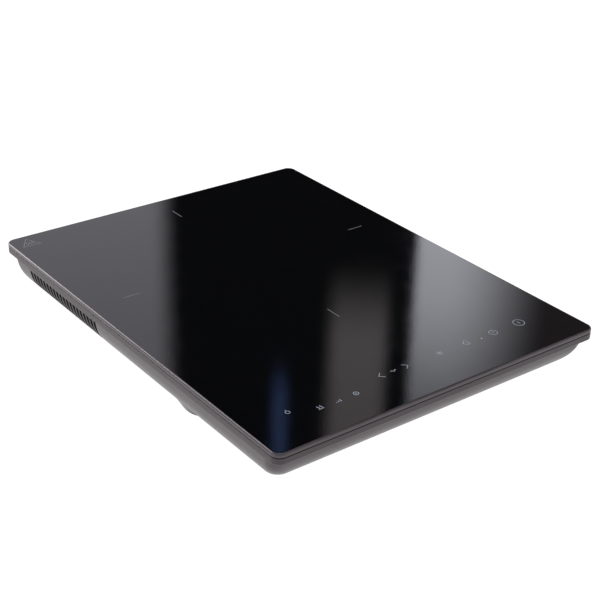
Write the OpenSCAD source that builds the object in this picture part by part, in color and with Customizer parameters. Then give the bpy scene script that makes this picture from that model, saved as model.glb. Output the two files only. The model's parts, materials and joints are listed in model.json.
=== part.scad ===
// Portable single-zone induction cooktop: a thin glass top on a plastic frame and a tapered base tub.
// Origin: bottom centre, between the rubber feet. +Z is up, -Y is the control edge, -X has the air slots.

/* [Body] */
// Width across the glass, side to side
body_width = 280; // [278:1:284]
// Depth from the control edge to the back edge
body_depth = 365; // [363:1:370]
// Height from the table to the cooking surface
body_height = 42; // [42:0.5:44]
// Plan radius of the glass and frame corners
corner_radius = 7; // [6.5:0.5:9]

/* [Glass] */
// Thickness of the glass plate
glass_thickness = 3.1; // [3:0.1:3.4]
// Width of the ground rounding along the top edge
glass_rounding = 1.2; // [0.8:0.1:1.4]
// Thickness of the adhesive bead under the glass
seal_thickness = 0.4; // [0.3:0.1:0.6]

/* [Frame] */
// Height of the plain band under the glass
rim_height = 5.1; // [4.9:0.1:5.6]
// Wall of the band and its top ledge
rim_wall = 2; // [1.8:0.1:2.1]

/* [Base tub] */
// How far the front wall starts behind the control edge
tub_front_inset = 5.7; // [5:0.1:6.5]
// How far the back wall starts before the back edge
tub_back_inset = 10.9; // [10:0.1:11.5]
// How far the side walls start inside the side edges
tub_side_inset = 0.6; // [0.5:0.1:0.9]
// Lean of the walls from upright, degrees
wall_lean = 9.6; // [8:0.2:11]
// Radius of the curve from wall to underside
belly_radius = 25.3; // [24:0.1:25.4]
// Thickness of the floor
floor_wall = 2.4; // [2.2:0.1:2.6]
// Number of air slots in the left wall
vent_count = 20; // [18:1:20]
// Width of one air slot
vent_width = 3.2; // [2.6:0.1:3.4]
// Distance from one air slot to the next
vent_pitch = 5.2; // [5:0.1:5.2]

/* [Feet] */
// Height of the underside above the table
foot_height = 8; // [7.5:0.5:8]
// Radius of a foot where it meets the table
foot_radius = 18.3; // [17.5:0.1:18.5]

/* [Heating] */
// Radius of the wound copper coil
coil_radius = 80; // [78:1:80]
// Distance of the coil centre behind the middle of the glass
coil_y = 46; // [45:1:47]

/* [Fan] */
// Side of the square fan housing
fan_size = 80; // [80:1:80]
// Number of fan blades
blade_count = 7; // [5:1:9]

/* [Hidden] */
$fn = 64;

// Heights, from the table up
half_w = body_width / 2;
half_d = body_depth / 2;
glass_z = body_height - glass_thickness;
frame_top_z = glass_z - seal_thickness;
rim_z = frame_top_z - rim_height;
ledge_z = frame_top_z - rim_wall;
tub_top_z = rim_z - 0.1;
under_z = foot_height;
floor_z = under_z + floor_wall;
cut = 1;

// Frame and tub
rim_edge_radius = 0.4;
rim_lower_radius = 1.1;
glass_lower_radius = 0.4;
side_wall = 3.4;
end_wall = 2.6;
tub_corner_radius = 8.7;
lip_gap = 0.3;
flange_height = 1.6;
lip_height = 2.8;
hull_fn = 32;
slice = 0.01;
belly_steps = 14;

// Feet
foot_slope = 0.6;
pad_height = 1.2;
boss_top_z = 16;
boss_wall = 2.9;
stem_radius = 3;
stem_height = 3.4;
front_foot = [103.4, -53.7];
back_foot = [90, 118];
FEET = [
    [-front_foot.x, front_foot.y], [front_foot.x, front_foot.y],
    [-back_foot.x, back_foot.y], [back_foot.x, back_foot.y]
];

// Case screws, mirrored left and right
case_screw_front = [119, -135];
case_screw_middle = [119, 24];
case_screw_back = [45, 143];
CASE_SCREWS = [
    for (side = [-1, 1], p = [case_screw_front, case_screw_middle, case_screw_back])
        [side * p.x, p.y]
];
case_post_radius = 4.4;
case_split_z = 24;
tab_width = 7;
pilot_radius = 1.3;
screw_radius = 1.5;
screw_head_radius = 2.8;
screw_head_height = 2;
head_recess = 6;

// Air slots
vent_first_y = 41.6;
vent_top_z = rim_z - 0.8;
vent_inner_x = half_w - 19;
vent_wall = 1.9;
vent_pocket_x = half_w - 24;

// Fan, blowing up from the grille in the floor
fan_pos = [-45, -88];
fan_z = 14;
fan_height = 15;
fan_bore_radius = 38.2;
fan_hole_offset = 35.75;
fan_flange = 3;
fan_base = 1.5;
hub_radius = 17;
hub_wall = 1.3;
blade_radius = 37.2;
blade_pitch = 38;
blade_thickness = 1.3;
rotor_z = fan_z + 2.6;
rotor_top_z = fan_z + 13.6;
hub_inner_z = rotor_top_z - 1.4;
shaft_radius = 1.5;
shaft_clearance = 0.04;
bearing_radius = 3;
bearing_boss_radius = 4.4;
grille_slot = 3;
grille_pitch = 5.6;
grille_first = 9;
grille_rings = 5;
fan_plug_at = [2.4, -100];
fan_plug_box = [5, 8, 7];

// Coil stack, from the carrier up
carrier_z = 24.4;
carrier_height = 5.6;
ear_radius = 92;
ear_width = 14;
ferrite_size = [52, 12, 4];
ferrite_count = 6;
ferrite_start = 25;
coil_z = carrier_z + carrier_height;
wire_radius = 1.7;
wire_pitch = 3.2;
coil_inner_radius = 24;
mica_thickness = 0.4;
mica_z = coil_z + 2 * wire_radius;
felt_z = mica_z + mica_thickness;
felt_gap = 0.3;
sensor_hole_radius = 10;
sensor_z = glass_z - 5;
EARS = [90, 210, 330];

// Power board, beside the fan
board = [78, 84, 1.6];
board_pos = [2, -130, 15];
board_top = board_pos.z + board.z;
board_inset = 4;
BOARD_SCREWS = [
    for (x = [board_inset, board.x - board_inset], y = [board_inset, board.y - board_inset])
        [board_pos.x + x, board_pos.y + y]
];
board_post_radius = 3.4;

// Parts on the power board
chip_height = 5;
chip_z = board_top + 0.8;
igbt_box = [16, 21, chip_height];
igbt_pos = [12, -96, chip_z];
bridge_box = [25, 20, chip_height];
bridge_pos = [31, -96, chip_z];
sink_box = [50, 38, 12];
sink_pos = [8, -102, chip_z + chip_height];
sink_base = 3;
fin_count = 9;
fin_thickness = 1.4;
SINK_SCREWS = [
    [igbt_pos.x + igbt_box.x / 2, igbt_pos.y + 15],
    [bridge_pos.x + bridge_box.x / 2, bridge_pos.y + 10]
];
thermistor_box = [5, 3.4, 3];
resonant_at = [61.5, -112];
resonant_box = [16, 27, 18];
filter_at = [61.5, -83];
filter_box = [16, 24, 18];
suppression_at = [32, -129];
suppression_box = [18, 8, 14];
choke_at = [19, -115];
choke_radius = 6.6;
choke_winding = 3.6;
fuse_at = [32, -112];
fuse_length = 20;
fuse_radius = 2.6;
fuse_clip = [4, 6.8, 4];
varistor_at = [57, -127];
varistor_radius = 4.6;
transformer_at = [9.4, -63];
transformer_foot = [18, 16, 3];
transformer_core = [14, 12, 9];
transformer_winding = [18, 6, 11];
electrolytic_x = [34, 45];
electrolytic_y = -55;
electrolytic_radius = 4.8;
electrolytic_height = 15;
buzzer_at = [54.8, -53];
buzzer_radius = 4.6;
buzzer_height = 7;
socket_x = 11;
socket_width = 14;
socket_depth = 4;
ribbon_width = 11;
ribbon_thickness = 0.8;

// Leads
TERMINALS = [63.5, 70];
lead_sides = 8;
lead_reference = [0.48, 0.36, 0.8];

// Control board, under the touch marks
control = [216, 30, 1.6];
control_pos = [-110, -162, 31.4];
control_top = control_pos.z + control.z;
CONTROL_SCREWS = [
    for (x = [4, control.x - 4], y = [4, control.y - 4])
        [control_pos.x + x, control_pos.y + y]
];
key_y = -145.8;
KEYS = [-105.5, -28.5, -6.2, 23.8, 48.3, 74.7, 98.5];
led_y = -153.7;
LEDS = [-85.2, -71, -55.8];
power_led = [62, -147.5];
display_x = -17.3;
display_box = [12, 10, 4.6];

// Mains entry at the back
gland_x = 96;
gland_z = 22;
gland_hole_radius = 6;
gland_bore_radius = 3.6;
gland_flange_radius = 8.5;
gland_face_y = half_d - tub_back_inset + 0.6;
gland_seat_y = gland_face_y - 14;
gland_flange = 2.6;
gland_nose = 6;
gland_boss_radius = 10;

dark_plastic = [0.22, 0.22, 0.23];
board_green = [0.1, 0.35, 0.2];
steel = [0.72, 0.73, 0.75];

// ---------- Shared shapes ----------

// Plan outline with round corners, inset from the edge of the glass
module outline(inset, radius) {
    w = half_w - inset - radius;
    d = half_d - inset - radius;
    square([2 * (w + radius), 2 * d], center = true);
    square([2 * w, 2 * (d + radius)], center = true);
    for (x = [-w, w], y = [-d, d]) translate([x, y]) circle(radius);
}

// Carries an edge profile round the outline; x = 0 is the corner centre line, x = corner_radius the edge
module edge_sweep() {
    w = half_w - corner_radius;
    d = half_d - corner_radius;
    for (side = [0, 1]) rotate([0, 0, 180 * side]) {
        translate([w, d, 0]) rotate([90, 0, 0]) linear_extrude(2 * d) children();
        translate([-w, d, 0]) rotate([90, 0, 90]) linear_extrude(2 * w) children();
        translate([w, d, 0]) rotate_extrude(angle = 90) children();
        translate([-w, d, 0]) rotate([0, 0, 90]) rotate_extrude(angle = 90) children();
    }
}

// Points of a quarter arc about [cx, cz], from angle a0 to a1
function arc(cx, cz, rx, rz, a0, a1, steps = 6) =
    [for (i = [0 : steps]) let (a = a0 + (a1 - a0) * i / steps) [cx + rx * cos(a), cz + rz * sin(a)]];

// Height and inset of the tub wall: a leaning stretch, then the round belly
lean_end = 90 - wall_lean;
function belly_points(radius, centre_z) = [
    for (i = [0 : belly_steps])
        let (a = lean_end * (1 - i / belly_steps))
        [radius * (sin(lean_end) - sin(a)), centre_z - radius * cos(a)]
];
function wall_points(radius, bottom_z, top_z) =
    let (centre_z = bottom_z + radius,
         belly = belly_points(radius, centre_z),
         lean = (top_z - belly[0].y) * tan(wall_lean))
    concat([[0, top_z]], [for (p = belly) [p.x + lean, p.y]]);

// Convex body of the tub, inset from the glass edge by side, front and back
module tub_body(side, front, back, radius, bottom_z, top_z, corner, extra = 0) {
    points = concat(extra > 0 ? [[0, top_z + extra]] : [], wall_points(radius, bottom_z, top_z));
    hull() for (p = points) {
        x = half_w - side - p.x - corner;
        y0 = -half_d + front + p.x + corner;
        y1 = half_d - back - p.x - corner;
        for (q = [[-x, y0], [x, y0], [-x, y1], [x, y1]])
            translate([q.x, q.y, p.y]) cylinder(h = slice, r = corner, $fn = hull_fn);
    }
}

module drill(p, z0, z1, r) {
    translate([p.x, p.y, z0]) cylinder(h = z1 - z0, r = r);
}

module ring(z0, z1, r_in, r_out) {
    translate([0, 0, z0]) difference() {
        cylinder(h = z1 - z0, r = r_out);
        translate([0, 0, -cut]) cylinder(h = z1 - z0 + 2 * cut, r = r_in);
    }
}

// Screw with its head at z_head; dir 1 points the shank up, -1 down
module screw(p, z_head, length, dir) {
    translate([p.x, p.y, z_head]) mirror([0, 0, dir > 0 ? 0 : 1]) difference() {
        union() {
            cylinder(h = screw_head_height, r = screw_head_radius);
            cylinder(h = screw_head_height + length, r = pilot_radius);
        }
        translate([0, 0, -cut]) cylinder(h = cut + 1.2, r = 1.2, $fn = 6);
    }
}

// Insulated lead: an eight-sided tube through a list of points, with mitred joints and no twist
function unit(v) = v / norm(v);
function leg(points, i) = unit(points[i + 1] - points[i]);
function lead_side(points, i) =
    i == 0
        ? unit(cross(leg(points, 0), lead_reference))
        : let (u = lead_side(points, i - 1), before = leg(points, i - 1), after = leg(points, i))
          u - (u * after) / (1 + before * after) * (before + after);
function lead_ring(points, i, r) =
    let (d = leg(points, max(i - 1, 0)),
         joint = d + leg(points, min(i, len(points) - 2)),
         u = lead_side(points, max(i - 1, 0)),
         v = cross(d, u))
    [for (k = [0 : lead_sides - 1])
        let (a = 360 * k / lead_sides,
             w = r * (cos(a) * u + sin(a) * v))
        points[i] + w - (w * joint) / (d * joint) * d];

module lead(points, r) {
    n = len(points);
    walls = [
        for (i = [0 : n - 2], k = [0 : lead_sides - 1])
            let (a = i * lead_sides + k, b = i * lead_sides + (k + 1) % lead_sides)
            each [[a, a + lead_sides, b], [b, a + lead_sides, b + lead_sides]]
    ];
    ends = [
        [for (k = [0 : lead_sides - 1]) k],
        [for (k = [lead_sides - 1 : -1 : 0]) (n - 1) * lead_sides + k]
    ];
    polyhedron([for (i = [0 : n - 1]) each lead_ring(points, i, r)], concat(walls, ends));
}

module block(pos, size) {
    translate(pos) cube(size);
}

// Block standing on the power board, or lift above it
module on_board(at, size, lift = 0) {
    block([at.x, at.y, board_top + lift], size);
}

// ---------- Case ----------

module glass_top() color([0.04, 0.04, 0.05]) {
    r = corner_radius;
    low = glass_lower_radius;
    edge = concat(
        [[0, glass_z]],
        arc(r - low, glass_z + low, low, low, -90, 0),
        arc(r - glass_rounding, body_height - glass_rounding, glass_rounding, glass_rounding, 0, 90),
        [[0, body_height]]
    );
    edge_sweep() polygon(edge);
    translate([0, 0, glass_z + glass_thickness / 2])
        cube([body_width - 2 * r, body_depth - 2 * r, glass_thickness], center = true);
}

module glass_seal() color([0.03, 0.03, 0.03]) {
    translate([0, 0, frame_top_z]) linear_extrude(seal_thickness) difference() {
        outline(1.6, corner_radius - 1.6);
        outline(8, 4);
    }
}

module top_frame() color(dark_plastic) {
    r = corner_radius;
    edge = concat(
        [[0, ledge_z], [r - rim_wall, ledge_z], [r - rim_wall, rim_z]],
        arc(r - rim_lower_radius, rim_z + rim_lower_radius, rim_lower_radius, rim_lower_radius, -90, 0),
        arc(r - rim_edge_radius, frame_top_z - rim_edge_radius, rim_edge_radius, rim_edge_radius, 0, 90),
        [[0, frame_top_z]]
    );
    open_x = half_w - 16;
    open_front = -half_d + 17;
    open_back = half_d - 22;
    difference() {
        union() {
            edge_sweep() polygon(edge);
            translate([0, 0, ledge_z]) difference() {
                translate([r - half_w, r - half_d, 0])
                    cube([body_width - 2 * r, body_depth - 2 * r, rim_wall]);
                translate([-open_x, open_front, -cut])
                    cube([2 * open_x, open_back - open_front, rim_wall + 2 * cut]);
            }
            for (p = CASE_SCREWS) {
                back = p.y > half_d / 2;
                reach = back ? open_back - p.y + cut : open_x - abs(p.x) + cut;
                translate([p.x, p.y, ledge_z]) rotate([0, 0, back ? 90 : p.x > 0 ? 0 : 180])
                    translate([0, -tab_width / 2, 0]) cube([reach, tab_width, rim_wall]);
                drill(p, case_split_z, frame_top_z - 0.5, case_post_radius);
            }
        }
        for (p = CASE_SCREWS) drill(p, case_split_z - cut, ledge_z - 2, pilot_radius);
    }
}

module foot_cone(p, z0, shrink) {
    r0 = foot_radius + foot_slope * z0 - shrink;
    translate([p.x, p.y, z0])
        cylinder(h = boss_top_z - z0, r1 = r0, r2 = r0 + foot_slope * (boss_top_z - z0));
}

module intake_slots() {
    translate([fan_pos.x, fan_pos.y, under_z - cut]) difference() {
        for (i = [0 : grille_rings - 1]) {
            r = grille_first + i * grille_pitch;
            ring(0, floor_wall + 2 * cut, r, r + grille_slot);
        }
        for (a = [0 : 45 : 135]) rotate([0, 0, a])
            translate([-fan_size / 2, -1.4, -cut]) cube([fan_size, 2.8, floor_wall + 4 * cut]);
    }
}

// The wall is thinner behind the air slots
module vent_pocket() {
    span = (vent_count - 1) * vent_pitch + vent_width + 3;
    intersection() {
        tub_body(tub_side_inset + vent_wall, tub_front_inset + end_wall, tub_back_inset + end_wall,
            belly_radius - vent_wall, under_z + vent_wall, tub_top_z - 0.4, tub_corner_radius - vent_wall);
        translate([-half_w, vent_first_y - vent_width / 2 - 1.5, under_z])
            cube([half_w - vent_pocket_x, span, vent_top_z + 0.6 - under_z]);
    }
}

module air_slots() {
    for (i = [0 : vent_count - 1])
        translate([-half_w - cut, vent_first_y + i * vent_pitch - vent_width / 2, under_z - cut])
            cube([half_w - vent_inner_x + cut, vent_width, vent_top_z - under_z + cut]);
}

function ear_at(a) = [ear_radius * cos(a), coil_y + ear_radius * sin(a)];

module tub_posts() {
    for (p = CASE_SCREWS) drill(p, floor_z - 1, case_split_z, case_post_radius);
    for (p = BOARD_SCREWS) drill(p, floor_z - 1, board_pos.z, board_post_radius);
    for (p = CONTROL_SCREWS) drill(p, floor_z - 0.4, control_pos.z, board_post_radius);
    for (x = [-1, 1], y = [-1, 1])
        drill(fan_pos + fan_hole_offset * [x, y], floor_z - 1, fan_z, board_post_radius);
    for (a = EARS)
        drill(ear_at(a), floor_z - 1, carrier_z, case_post_radius);
}

module base_tub() color([0.33, 0.33, 0.34]) {
    lip_inset = rim_wall + lip_gap;
    lip_corner = corner_radius - lip_inset;
    difference() {
        union() {
            difference() {
                union() {
                    tub_body(tub_side_inset, tub_front_inset, tub_back_inset, belly_radius,
                        under_z, tub_top_z, tub_corner_radius);
                    translate([0, 0, tub_top_z]) linear_extrude(flange_height) outline(lip_inset, lip_corner);
                    translate([0, 0, tub_top_z]) linear_extrude(lip_height) difference() {
                        outline(lip_inset, lip_corner);
                        outline(lip_inset + 1.6, lip_corner - 1.6);
                    }
                    for (p = FEET) foot_cone(p, pad_height, 0);
                    along_gland(gland_face_y - 8, gland_face_y, gland_boss_radius);
                }
                tub_body(tub_side_inset + side_wall, tub_front_inset + end_wall, tub_back_inset + end_wall,
                    belly_radius - floor_wall, floor_z, tub_top_z, tub_corner_radius - floor_wall, 4);
                for (p = FEET) foot_cone(p, pad_height + floor_wall, boss_wall);
                vent_pocket();
                air_slots();
                intake_slots();
            }
            tub_posts();
            along_gland(gland_seat_y, gland_face_y - 4.6, gland_boss_radius);
        }
        for (p = CASE_SCREWS) {
            drill(p, under_z - cut, under_z + head_recess, screw_head_radius + 0.4);
            drill(p, under_z - cut, case_split_z + cut, screw_radius + 0.2);
        }
        for (p = BOARD_SCREWS) drill(p, floor_z - 0.5, board_pos.z + cut, pilot_radius);
        for (p = CONTROL_SCREWS) drill(p, control_pos.z - 10, control_pos.z + cut, pilot_radius);
        for (x = [-1, 1], y = [-1, 1])
            drill(fan_pos + fan_hole_offset * [x, y], floor_z - 1, fan_z + cut, pilot_radius);
        for (a = EARS)
            drill(ear_at(a), carrier_z - 9, carrier_z + cut, pilot_radius);
        for (p = FEET) drill(p, 0, pad_height + floor_wall + cut, stem_radius);
        along_gland(gland_seat_y - cut, gland_face_y + cut, gland_hole_radius);
    }
}

// Cylinder on the cord gland's axis, from y0 to y1
module along_gland(y0, y1, r) {
    translate([gland_x, y0, gland_z]) rotate([-90, 0, 0]) cylinder(h = y1 - y0, r = r);
}

module foot(p) color([0.07, 0.07, 0.07]) {
    translate([p.x, p.y, 0]) {
        cylinder(h = pad_height, r1 = foot_radius, r2 = foot_radius + foot_slope * pad_height);
        cylinder(h = pad_height + stem_height, r = stem_radius);
    }
}

module foot_front_left() foot(FEET[0]);

module foot_front_right() foot(FEET[1]);

module foot_back_left() foot(FEET[2]);

module foot_back_right() foot(FEET[3]);

module case_screws() color(steel) {
    head_z = under_z + head_recess - screw_head_height;
    for (p = CASE_SCREWS) screw(p, head_z, ledge_z - 3 - head_z - screw_head_height, 1);
}

module mains_gland() color([0.06, 0.06, 0.06]) {
    nose_y = gland_face_y + gland_nose;
    tail_y = gland_seat_y - gland_flange;
    difference() {
        union() {
            along_gland(tail_y, nose_y, gland_hole_radius);
            along_gland(gland_face_y, gland_face_y + gland_flange, gland_flange_radius);
            along_gland(tail_y, gland_seat_y, gland_flange_radius);
        }
        along_gland(tail_y - cut, nose_y + cut, gland_bore_radius);
    }
}

module mains_leads() color([0.35, 0.22, 0.12]) {
    for (i = [0, 1]) lead([
        [gland_x - 1.8 + 3.6 * i, gland_seat_y + 6, gland_z],
        [gland_x - 1.8 + 3.6 * i, gland_seat_y - 10, gland_z],
        [107 + 3.6 * i, 110, 20],
        [107 + 3.6 * i, -70, 20],
        [90 + 3.6 * i, -115 - 4.5 * i, 21],
        [70, -116 - 4.5 * i, 21],
        [70, -116 - 4.5 * i, board_top]
    ], 1.3);
}

// ---------- Fan ----------

module fan_housing() color([0.08, 0.08, 0.08]) {
    translate([fan_pos.x, fan_pos.y, fan_z]) {
        difference() {
            union() {
                cylinder(h = fan_height, r = fan_bore_radius + 1.4);
                for (z = [0, fan_height - fan_flange]) translate([0, 0, z]) linear_extrude(fan_flange) {
                    square([fan_size, fan_size - 10], center = true);
                    square([fan_size - 10, fan_size], center = true);
                    for (x = [-1, 1], y = [-1, 1])
                        translate((fan_size / 2 - 5) * [x, y]) circle(5);
                }
            }
            translate([0, 0, -cut]) cylinder(h = fan_height + 2 * cut, r = fan_bore_radius);
            for (x = [-1, 1], y = [-1, 1])
                drill(fan_hole_offset * [x, y], -cut, fan_height + cut, screw_radius + 0.3);
        }
        difference() {
            union() {
                cylinder(h = fan_base, r = 15);
                for (a = [45 : 90 : 315]) rotate([0, 0, a])
                    translate([14, -1.5, 0]) cube([fan_bore_radius - 13.5, 3, fan_base]);
                cylinder(h = 10, r = bearing_boss_radius);
            }
            translate([0, 0, fan_base]) cylinder(h = 10, r = bearing_radius);
        }
    }
}

module fan_bearing() color([0.7, 0.5, 0.25]) {
    translate([fan_pos.x, fan_pos.y, 0])
        ring(fan_z + fan_base, fan_z + 10, shaft_radius + shaft_clearance, bearing_radius);
}

module fan_stator() color([0.45, 0.28, 0.15]) {
    translate([fan_pos.x, fan_pos.y, 0]) {
        ring(fan_z + 4.4, fan_z + 8.4, bearing_boss_radius, 8);
        for (a = [0 : 90 : 270]) rotate([0, 0, a]) intersection() {
            translate([6, -5, fan_z + 4.4]) cube([10, 10, 4]);
            ring(fan_z + 4, fan_z + 9, 7, 13.4);
        }
    }
}

module fan_shaft() color(steel) {
    shaft_z = fan_z + 2.4;
    translate([fan_pos.x, fan_pos.y, shaft_z]) cylinder(h = hub_inner_z - shaft_z, r = shaft_radius);
}

module fan_rotor() color([0.1, 0.1, 0.1]) {
    translate([fan_pos.x, fan_pos.y, 0]) {
        difference() {
            translate([0, 0, rotor_z]) cylinder(h = rotor_top_z - rotor_z, r = hub_radius);
            translate([0, 0, rotor_z - cut])
                cylinder(h = hub_inner_z - rotor_z + cut, r = hub_radius - hub_wall);
        }
        difference() {
            translate([0, 0, fan_z + 10.6]) cylinder(h = rotor_top_z - fan_z - 11, r = 3);
            translate([0, 0, fan_z + 10]) cylinder(h = hub_inner_z - fan_z - 10, r = shaft_radius);
        }
        for (i = [0 : blade_count - 1]) rotate([0, 0, 360 * i / blade_count]) intersection() {
            translate([hub_radius - 0.6, 0, (rotor_z + rotor_top_z) / 2]) rotate([blade_pitch, 0, 0])
                cube([44, blade_thickness, 22], center = true);
            difference() {
                ring(rotor_z + 0.5, rotor_top_z - 0.5, hub_radius - 0.6, blade_radius);
                translate([-60, -40, 0]) cube([60, 80, 60]);
            }
        }
    }
}

module fan_magnet() color([0.25, 0.25, 0.27]) {
    translate([fan_pos.x, fan_pos.y, 0]) ring(fan_z + 3.4, fan_z + 10, 14.2, hub_radius - hub_wall);
}

module fan_screws() color(steel) {
    for (x = [-1, 1], y = [-1, 1])
        screw(fan_pos + fan_hole_offset * [x, y], fan_z + fan_height + screw_head_height,
            fan_height + 3.4, -1);
}

module fan_lead() color([0.6, 0.1, 0.1]) {
    for (i = [0, 1]) lead([
        [fan_pos.x + 27, fan_pos.y - 27 + 2.6 * i, fan_z],
        [fan_pos.x + 27, fan_pos.y - 27 + 2.6 * i, 12.2],
        [-1.5, -97.3 + 2.6 * i, 12.2],
        [-1.5, -97.3 + 2.6 * i, 20],
        [fan_plug_at.x, -97.3 + 2.6 * i, 20]
    ], 0.7);
}

module fan_connector() color([0.9, 0.9, 0.87]) {
    on_board(fan_plug_at, fan_plug_box);
}

// ---------- Coil stack ----------

module at_coil() {
    translate([0, coil_y, 0]) children();
}

module ferrite_slot(grow) {
    translate([ferrite_start - grow, -ferrite_size.y / 2 - grow, coil_z - ferrite_size.z])
        cube([ferrite_size.x + 2 * grow, ferrite_size.y + 2 * grow, ferrite_size.z + (grow > 0 ? cut : 0)]);
}

module coil_carrier() color([0.75, 0.73, 0.68]) {
    at_coil() difference() {
        union() {
            ring(carrier_z, coil_z, sensor_hole_radius, 20);
            ring(carrier_z, coil_z, coil_radius - 2, coil_radius + 4);
            ring(carrier_z + 2, coil_z, 50, 54);
            for (i = [0 : ferrite_count - 1]) rotate([0, 0, 30 + 60 * i])
                translate([19, -8, carrier_z]) cube([coil_radius - 20, 16, carrier_height]);
            for (a = EARS) rotate([0, 0, a]) {
                translate([coil_radius, -ear_width / 2, carrier_z])
                    cube([ear_radius - coil_radius, ear_width, 3]);
                translate([ear_radius, 0, carrier_z]) cylinder(h = 3, r = ear_width / 2);
            }
        }
        for (i = [0 : ferrite_count - 1]) rotate([0, 0, 30 + 60 * i]) ferrite_slot(0.2);
        for (a = EARS) rotate([0, 0, a]) drill([ear_radius, 0], carrier_z - cut, carrier_z + 3 + cut, 1.8);
    }
}

module carrier_screws() color(steel) {
    at_coil() for (a = EARS)
        screw(ear_radius * [cos(a), sin(a)], carrier_z + 3 + screw_head_height, 9, -1);
}

module ferrite_bars() color([0.2, 0.2, 0.22]) {
    at_coil() for (i = [0 : ferrite_count - 1]) rotate([0, 0, 30 + 60 * i]) ferrite_slot(0);
}

module induction_coil() color([0.8, 0.45, 0.25]) {
    turns = floor((coil_radius - coil_inner_radius) / wire_pitch);
    first = coil_inner_radius + wire_radius;
    at_coil() rotate_extrude($fn = 96) for (i = [0 : turns - 1])
        translate([first + i * wire_pitch, coil_z + wire_radius]) circle(wire_radius);
}

module mica_sheet() color([0.7, 0.62, 0.45]) {
    at_coil() ring(mica_z, mica_z + mica_thickness, sensor_hole_radius, coil_radius + 2);
}

module insulation_felt() color([0.92, 0.91, 0.88]) {
    at_coil() ring(felt_z, glass_z - felt_gap, sensor_hole_radius + 1, coil_radius - 2);
}

module sensor_holder() color([0.85, 0.3, 0.15]) {
    at_coil() difference() {
        union() {
            ring(carrier_z - 2, coil_z + 3, 6.4, sensor_hole_radius - 0.2);
            ring(carrier_z - 2, carrier_z, 6.4, sensor_hole_radius + 3);
            translate([0, 0, carrier_z - 2]) cylinder(h = 1.6, r = 7);
        }
        translate([0, 0, carrier_z - 3]) cylinder(h = 3, r = 1.6);
    }
}

module sensor_spring() color(steel) {
    turns = 6;
    bottom = carrier_z - 0.4;
    at_coil() for (i = [0 : turns - 1])
        translate([0, 0, bottom + 0.6 + i * (sensor_z - bottom - 1.2) / (turns - 1)])
            rotate_extrude() translate([4.6, 0]) circle(0.6);
    at_coil() for (a = [0, 180]) rotate([0, 0, a])
        translate([4.6, 0, bottom + 0.6]) cylinder(h = sensor_z - bottom - 1.2, r = 0.4);
}

module temperature_sensor() color([0.85, 0.85, 0.82]) {
    at_coil() {
        translate([0, 0, sensor_z]) cylinder(h = glass_z - sensor_z, r = 5.8);
        lead([[0, 0, sensor_z + 1], [0, 0, 20], [0, -40, 14], [30, -88, 19], [30, -94, 19],
            [30, -94, board_top]], 0.8);
    }
}

module coil_leads() color([0.75, 0.2, 0.15]) {
    between_bars = [cos(300), sin(300)];
    near = (coil_inner_radius + wire_radius) * between_bars;
    far = (coil_radius - 5) * between_bars;
    lug_y = -92.5;
    z = 21;
    at_coil() {
        lead([[near.x, near.y, coil_z], [near.x, near.y, z], [TERMINALS[0], -84, z],
            [TERMINALS[0], lug_y, z]], 1.6);
        lead([[far.x, far.y, coil_z], [far.x, far.y, z], [TERMINALS[1], -78, z],
            [TERMINALS[1], lug_y, z]], 1.6);
    }
}

module coil_terminals() color([0.8, 0.65, 0.3]) {
    for (x = TERMINALS) translate([x, -50, board_top]) {
        cylinder(h = 3.2, r = 2.8, $fn = 6);
        cylinder(h = 7, r = 1.5);
        translate([-1.5, 0, 3.2]) cube([3, 3.5, 2.4]);
    }
}

// ---------- Power electronics ----------

module power_board() color(board_green) {
    difference() {
        block(board_pos, board);
        for (p = BOARD_SCREWS) drill(p, board_pos.z - cut, board_top + cut, 1.7);
    }
}

module power_board_screws() color(steel) {
    for (p = BOARD_SCREWS) screw(p, board_top + screw_head_height, 5.4, -1);
}

module heatsink() color([0.8, 0.81, 0.83]) {
    pitch = (sink_box.x - fin_thickness) / (fin_count - 1);
    difference() {
        union() {
            block(sink_pos, [sink_box.x, sink_box.y, sink_base]);
            for (i = [0 : fin_count - 1])
                block(sink_pos + [i * pitch, 0, 0], [fin_thickness, sink_box.y, sink_box.z]);
        }
        for (p = SINK_SCREWS) drill(p, sink_pos.z - cut, sink_pos.z + sink_base + cut, 1.7);
        for (p = SINK_SCREWS) drill(p, sink_pos.z + sink_base, sink_pos.z + sink_box.z + cut, 3.2);
    }
}

module heatsink_screws() color(steel) {
    for (p = SINK_SCREWS) screw(p, sink_pos.z + sink_base + screw_head_height, 7.4, -1);
}

module heatsink_thermistor() color([0.1, 0.1, 0.1]) {
    block([sink_pos.x + 14, sink_pos.y - thermistor_box.y, sink_pos.z], thermistor_box);
    leg = [sink_pos.x + 16, sink_pos.y - 2];
    lead([[leg.x, leg.y, sink_pos.z + 1], [leg.x, leg.y, board_top]], 0.5);
}

module chip(pos, size, legs, hole) {
    difference() {
        block(pos, size);
        translate([hole.x, hole.y, pos.z - cut]) cylinder(h = size.z + 2 * cut, r = 1.8);
    }
    for (i = [0 : legs - 1]) {
        x = pos.x + size.x * (i + 0.5) / legs - 0.6;
        block([x, pos.y - 5, pos.z + 1], [1.2, 5, 0.7]);
        block([x, pos.y - 5, board_top], [1.2, 0.7, 2.5]);
    }
}

module igbt() color([0.12, 0.12, 0.12]) {
    chip(igbt_pos, igbt_box, 3, SINK_SCREWS[0]);
}

module bridge_rectifier() color([0.15, 0.15, 0.16]) {
    chip(bridge_pos, bridge_box, 4, SINK_SCREWS[1]);
}

module resonant_capacitor() color([0.75, 0.12, 0.1]) {
    on_board(resonant_at, resonant_box);
}

module filter_capacitor() color([0.9, 0.75, 0.2]) {
    on_board(filter_at, filter_box);
}

module suppression_capacitor() color([0.9, 0.8, 0.3]) {
    on_board(suppression_at, suppression_box);
}

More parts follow.
